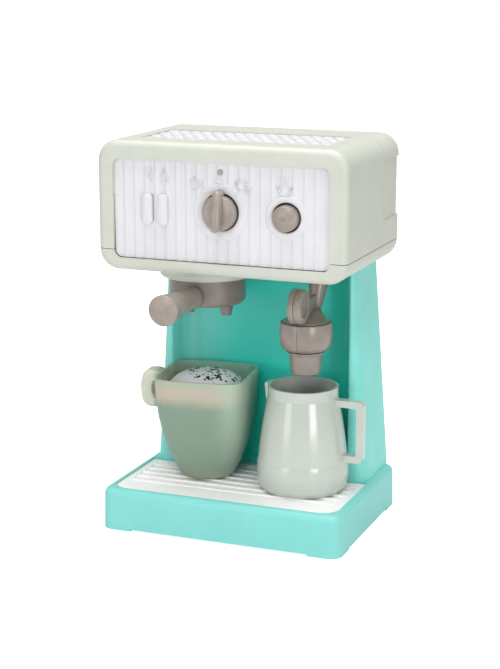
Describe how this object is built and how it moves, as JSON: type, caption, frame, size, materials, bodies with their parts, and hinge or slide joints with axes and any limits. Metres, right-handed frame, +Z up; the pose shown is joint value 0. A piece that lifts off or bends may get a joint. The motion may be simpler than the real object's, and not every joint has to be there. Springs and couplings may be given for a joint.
{
  "type": "toy coffee maker",
  "caption": "Toy espresso machine with drip tray, turning selector, push button, twist-in filter holder, swinging steam wand, cup with pretend coffee and milk jug.",
  "frame": {"origin": "on the table under the middle of the base footprint", "axes": "+X to the right seen from the front, the control panel faces -Y, +Z up"},
  "size_m": [0.189, 0.1555, 0.2895],
  "materials": {
    "teal_shell": "satin moulded ABS",
    "sage_shell": "fine satin moulded ABS",
    "white_tray": "satin moulded ABS",
    "white_panel": "satin moulded ABS",
    "taupe_plastic": "satin moulded ABS",
    "white_lens": "polished lens",
    "frosted_cup": "frosted translucent polypropylene",
    "coffee": "satin",
    "foam": "satin with dark specks",
    "jug_plastic": "gloss moulded ABS",
    "inner_plastic": "natural nylon",
    "steel": "zinc-plated"
  },
  "bodies": {
    "machine": {"base_shell": "teal_shell", "base_bottom_plate": "teal_shell", "base_screws": "steel", "column_front_shell": "teal_shell", "column_back_cover": "teal_shell", "column_screws": "steel", "head_upper_shell": "sage_shell", "head_rear_cover": "sage_shell", "head_lower_pan": "sage_shell", "control_panel": "white_panel", "temperature_light": "white_lens", "water_light": "white_lens", "status_lamp": "taupe_plastic", "cup_warmer_grille": "white_panel", "detent_leaf": "inner_plastic", "button_guide": "inner_plastic", "button_spring": "steel"},
    "tray": {"drip_tray": "white_tray"},
    "selector": {"selector_knob": "taupe_plastic", "selector_spindle": "inner_plastic", "detent_wheel": "inner_plastic", "selector_screw": "steel"},
    "button": {"steam_button": "taupe_plastic"},
    "filter_holder": {"portafilter_bowl": "taupe_plastic", "portafilter_spouts": "taupe_plastic", "portafilter_handle": "taupe_plastic"},
    "wand": {"wand_left_half": "taupe_plastic", "wand_right_half": "taupe_plastic", "steam_nozzle": "taupe_plastic", "wand_washer": "steel", "wand_screw": "steel"},
    "cup": {"cup": "frosted_cup"},
    "drink": {"coffee_disc": "coffee", "foam_top": "foam"},
    "jug": {"milk_jug": "jug_plastic"}
  },
  "joints": [
    {"name": "selector_turn", "type": "hinge", "parent": "machine", "child": "selector", "pos_m": [0, -0.06, 0.2424], "axis": [0, -1, 0], "range_deg": [-45, 45]},
    {"name": "steam_button_press", "type": "slide", "parent": "machine", "child": "button", "axis": [0, 1, 0], "range_m": [0, 0.003], "stiffness_N_per_m": 300, "springref_m": -0.002, "deforming": ["button_spring"]},
    {"name": "filter_holder_twist", "type": "hinge", "parent": "machine", "child": "filter_holder", "pos_m": [-0.0355, 0, 0.184], "axis": [0, 0, 1], "range_deg": [-45, 0]},
    {"name": "steam_wand_swing", "type": "hinge", "parent": "machine", "child": "wand", "pos_m": [0.0436, 0.031, 0.19], "axis": [0, 0, 1], "range_deg": [-20, 20]},
    {"name": "drip_tray_lift", "type": "slide", "parent": "machine", "child": "tray", "axis": [0, 0, 1], "range_m": [0, 0.007]},
    {"name": "cup_take_out", "type": "slide", "parent": "tray", "child": "cup", "axis": [0, -0.9945, 0.1045], "range_m": [0, 0.09]},
    {"name": "drink_lift", "type": "slide", "parent": "cup", "child": "drink", "axis": [0, 0, 1], "range_m": [0, 0.02]},
    {"name": "jug_take_out", "type": "slide", "parent": "tray", "child": "jug", "axis": [0, -0.9945, 0.1045], "range_m": [0, 0.09]}
  ]
}
